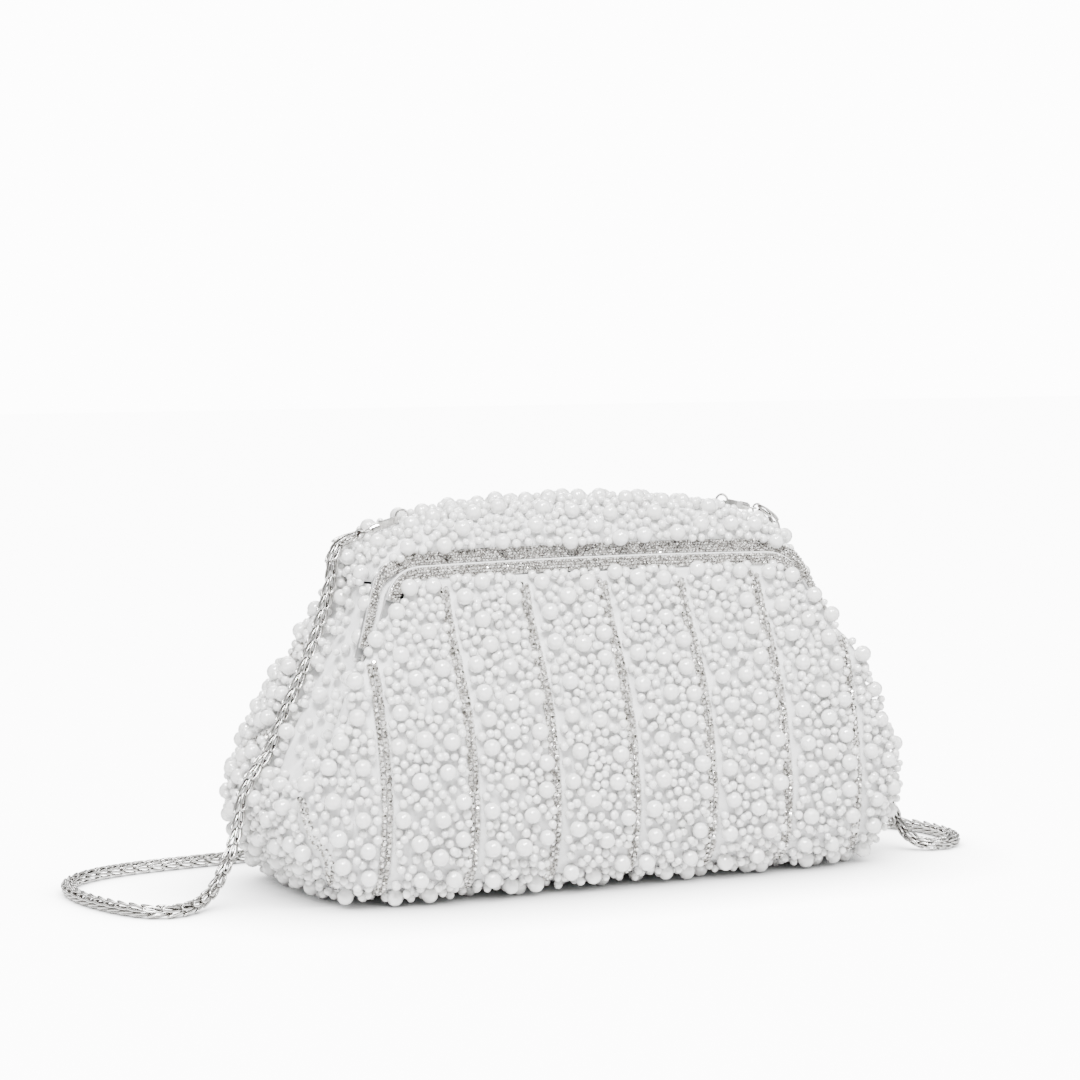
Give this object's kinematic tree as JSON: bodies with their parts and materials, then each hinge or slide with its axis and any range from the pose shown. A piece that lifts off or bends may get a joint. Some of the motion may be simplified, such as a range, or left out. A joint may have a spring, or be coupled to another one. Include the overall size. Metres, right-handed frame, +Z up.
{
  "type": "evening bag",
  "caption": "Beaded frame evening bag with nested inverted-U frames, rhinestone seams and rim bands, pleated ends and a long chain strap on swivel clasps.",
  "frame": {"origin": "on the floor under the middle of the base", "axes": "+X to the bag's right, +Y to its back, +Z up"},
  "size_m": [0.4496, 0.1685, 0.178],
  "materials": {
    "beaded_satin": "white satin covered with sewn pearl beads",
    "satin": "white satin",
    "lining": "plain woven lining",
    "rhinestone": "clear rhinestones in silver cup chain",
    "frame_steel": "plain sheet steel",
    "silver_metal": "bright silver plating",
    "board": "stiff fibre board"
  },
  "bodies": {
    "root": {"front_panel": "beaded_satin", "back_panel": "beaded_satin", "base_panel": "beaded_satin", "gusset_left": "beaded_satin", "gusset_right": "beaded_satin", "base_board": "board", "lining_front": "lining", "lining_back": "lining", "lining_base": "lining", "slip_pocket": "lining", "back_frame_bar": "frame_steel", "back_rim_band": "rhinestone", "back_rim_facing": "satin", "magnet_back": "frame_steel", "hinge_pin_left": "silver_metal", "hinge_pin_right": "silver_metal", "seam_chain_front_1": "rhinestone", "seam_chain_front_2": "rhinestone", "seam_chain_front_3": "rhinestone", "seam_chain_front_4": "rhinestone", "seam_chain_front_5": "rhinestone", "seam_chain_front_6": "rhinestone", "seam_chain_front_7": "rhinestone", "seam_chain_back_1": "rhinestone", "seam_chain_back_2": "rhinestone", "seam_chain_back_3": "rhinestone", "seam_chain_back_4": "rhinestone", "seam_chain_back_5": "rhinestone", "seam_chain_back_6": "rhinestone", "seam_chain_back_7": "rhinestone", "corner_chain_left": "rhinestone", "corner_chain_right": "rhinestone", "end_chain_low_left": "rhinestone", "end_chain_low_right": "rhinestone", "end_chain_high_left": "rhinestone", "end_chain_high_right": "rhinestone", "strap_ring_left": "silver_metal", "strap_ring_right": "silver_metal", "strap_tab_left": "satin", "strap_tab_right": "satin", "chain_left": "silver_metal", "chain_right": "silver_metal"},
    "front_frame": {"front_frame_bar": "frame_steel", "front_rim_band": "rhinestone", "front_rim_facing": "satin", "magnet_front": "frame_steel"},
    "clasp_left": {"clasp_hook_left": "silver_metal", "clasp_pin_left": "silver_metal"},
    "lever_left": {"clasp_lever_left": "silver_metal"},
    "swivel_left": {"swivel_eye_left": "silver_metal"},
    "jump_left": {"jump_ring_left": "silver_metal"},
    "clasp_right": {"clasp_hook_right": "silver_metal", "clasp_pin_right": "silver_metal"},
    "lever_right": {"clasp_lever_right": "silver_metal"},
    "swivel_right": {"swivel_eye_right": "silver_metal"},
    "jump_right": {"jump_ring_right": "silver_metal"}
  },
  "joints": [
    {"name": "frame_open", "type": "hinge", "parent": "root", "child": "front_frame", "pos_m": [0, -0.0375, 0.11], "axis": [1, 0, 0], "range_deg": [0, 60], "deforming": ["front_panel", "gusset_left", "gusset_right", "lining_front", "seam_chain_front_1", "seam_chain_front_2", "seam_chain_front_3", "seam_chain_front_4", "seam_chain_front_5", "seam_chain_front_6", "seam_chain_front_7"]},
    {"name": "clasp_swing_left", "type": "hinge", "parent": "root", "child": "clasp_left", "pos_m": [-0.0865, 0, 0.1696], "axis": [0, 1, 0], "range_deg": [0, 35], "deforming": ["chain_left"]},
    {"name": "lever_left", "type": "hinge", "parent": "clasp_left", "child": "lever_left", "pos_m": [-0.09627, 0.0035, 0.16604], "axis": [0.342, 0, -0.9397], "range_deg": [0, 15], "stiffness_Nm_per_rad": 0.002, "springref_deg": -22.92},
    {"name": "swivel_left", "type": "hinge", "parent": "clasp_left", "child": "swivel_left", "pos_m": [-0.1006, 0.0017, 0.16447], "axis": [-0.9397, 0, -0.342], "range_deg": [-30, 30]},
    {"name": "jump_ring_left", "type": "hinge", "parent": "swivel_left", "child": "jump_left", "pos_m": [-0.10576, 0.0017, 0.16259], "axis": [0, 1, 0], "range_deg": [0, 25]},
    {"name": "clasp_swing_right", "type": "hinge", "parent": "root", "child": "clasp_right", "pos_m": [0.0865, 0.004, 0.1716], "axis": [0, -1, 0], "range_deg": [0, 35], "deforming": ["chain_right"]},
    {"name": "lever_right", "type": "hinge", "parent": "clasp_right", "child": "lever_right", "pos_m": [0.09667, 0.0075, 0.16944], "axis": [0.2079, 0, 0.9781], "range_deg": [0, 15], "stiffness_Nm_per_rad": 0.002, "springref_deg": -22.92},
    {"name": "swivel_right", "type": "hinge", "parent": "clasp_right", "child": "swivel_right", "pos_m": [0.10117, 0.0057, 0.16848], "axis": [0.9781, 0, -0.2079], "range_deg": [-30, 30]},
    {"name": "jump_ring_right", "type": "hinge", "parent": "swivel_right", "child": "jump_right", "pos_m": [0.10655, 0.0057, 0.16734], "axis": [0, -1, 0], "range_deg": [0, 25]}
  ]
}
